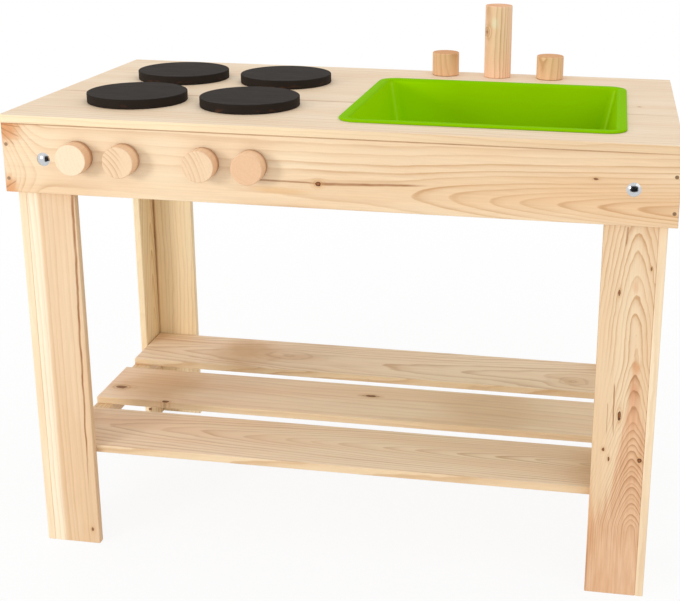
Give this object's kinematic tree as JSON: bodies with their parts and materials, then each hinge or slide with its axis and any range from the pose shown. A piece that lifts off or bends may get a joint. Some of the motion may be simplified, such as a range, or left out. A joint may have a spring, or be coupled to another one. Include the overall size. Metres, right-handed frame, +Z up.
{
  "type": "mud kitchen",
  "caption": "Child's outdoor play kitchen table of pine boards with a drop-in plastic sink, dowel tap, black hob discs, turning knobs and a slatted lower shelf.",
  "frame": {"origin": "middle of the bounding box's underside, on the floor between the feet", "axes": "+X along the worktop to the sink end (right), +Y from the knobs to the back, +Z up"},
  "size_m": [0.8, 0.4436, 0.677],
  "materials": {
    "pine": "bare planed pine, eased edges",
    "dowel": "bare turned pine dowel",
    "hob_black": "matt black paint on a wooden disc",
    "green_plastic": "satin lime green",
    "zinc_steel": "bright zinc plate"
  },
  "bodies": {
    "table": {"worktop_front_board": "pine", "worktop_back_board": "pine", "front_apron": "pine", "back_apron": "pine", "left_apron": "pine", "right_apron": "pine", "front_left_leg_face": "pine", "front_left_leg_side": "pine", "front_right_leg_face": "pine", "front_right_leg_side": "pine", "back_left_leg_face": "pine", "back_left_leg_side": "pine", "back_right_leg_face": "pine", "back_right_leg_side": "pine", "left_shelf_rail": "pine", "right_shelf_rail": "pine", "front_shelf_slat": "pine", "middle_shelf_slat": "pine", "back_shelf_slat": "pine", "hob_disc_front_left": "hob_black", "hob_disc_front_right": "hob_black", "hob_disc_back_left": "hob_black", "hob_disc_back_right": "hob_black", "carriage_bolts": "zinc_steel", "bolt_washers": "zinc_steel", "bolt_nuts": "zinc_steel", "apron_nails": "zinc_steel", "leg_screws": "zinc_steel", "apron_screws": "zinc_steel", "rail_screws": "zinc_steel", "slat_screws": "zinc_steel", "disc_screws": "zinc_steel", "tap_spout_screw": "zinc_steel", "tap_spout_washer": "zinc_steel", "tap_spout": "dowel"},
    "sink": {"sink_tub": "green_plastic"},
    "knob_1": {"knob_1": "dowel", "knob_1_screw": "zinc_steel", "knob_1_washer": "zinc_steel"},
    "knob_2": {"knob_2": "dowel", "knob_2_screw": "zinc_steel", "knob_2_washer": "zinc_steel"},
    "knob_3": {"knob_3": "dowel", "knob_3_screw": "zinc_steel", "knob_3_washer": "zinc_steel"},
    "knob_4": {"knob_4": "dowel", "knob_4_screw": "zinc_steel", "knob_4_washer": "zinc_steel"},
    "tap_handle_left": {"tap_handle_left": "dowel", "tap_handle_left_screw": "zinc_steel", "tap_handle_left_washer": "zinc_steel"},
    "tap_handle_right": {"tap_handle_right": "dowel", "tap_handle_right_screw": "zinc_steel", "tap_handle_right_washer": "zinc_steel"}
  },
  "joints": [
    {"name": "knob_1_turn", "type": "hinge", "parent": "table", "child": "knob_1", "pos_m": [-0.304, -0.1995, 0.5285], "axis": [0, -1, 0], "continuous": true},
    {"name": "knob_2_turn", "type": "hinge", "parent": "table", "child": "knob_2", "pos_m": [-0.246, -0.1995, 0.5285], "axis": [0, -1, 0], "continuous": true},
    {"name": "knob_3_turn", "type": "hinge", "parent": "table", "child": "knob_3", "pos_m": [-0.149, -0.1995, 0.5285], "axis": [0, -1, 0], "continuous": true},
    {"name": "knob_4_turn", "type": "hinge", "parent": "table", "child": "knob_4", "pos_m": [-0.091, -0.1995, 0.5285], "axis": [0, -1, 0], "continuous": true},
    {"name": "tap_handle_left_turn", "type": "hinge", "parent": "table", "child": "tap_handle_left", "pos_m": [0.0795, 0.1925, 0.575], "axis": [0, 0, 1], "continuous": true},
    {"name": "tap_handle_right_turn", "type": "hinge", "parent": "table", "child": "tap_handle_right", "pos_m": [0.2295, 0.1925, 0.575], "axis": [0, 0, 1], "continuous": true},
    {"name": "sink_lift", "type": "slide", "parent": "table", "child": "sink", "axis": [0, 0, 1], "range_m": [0, 0.13]}
  ]
}
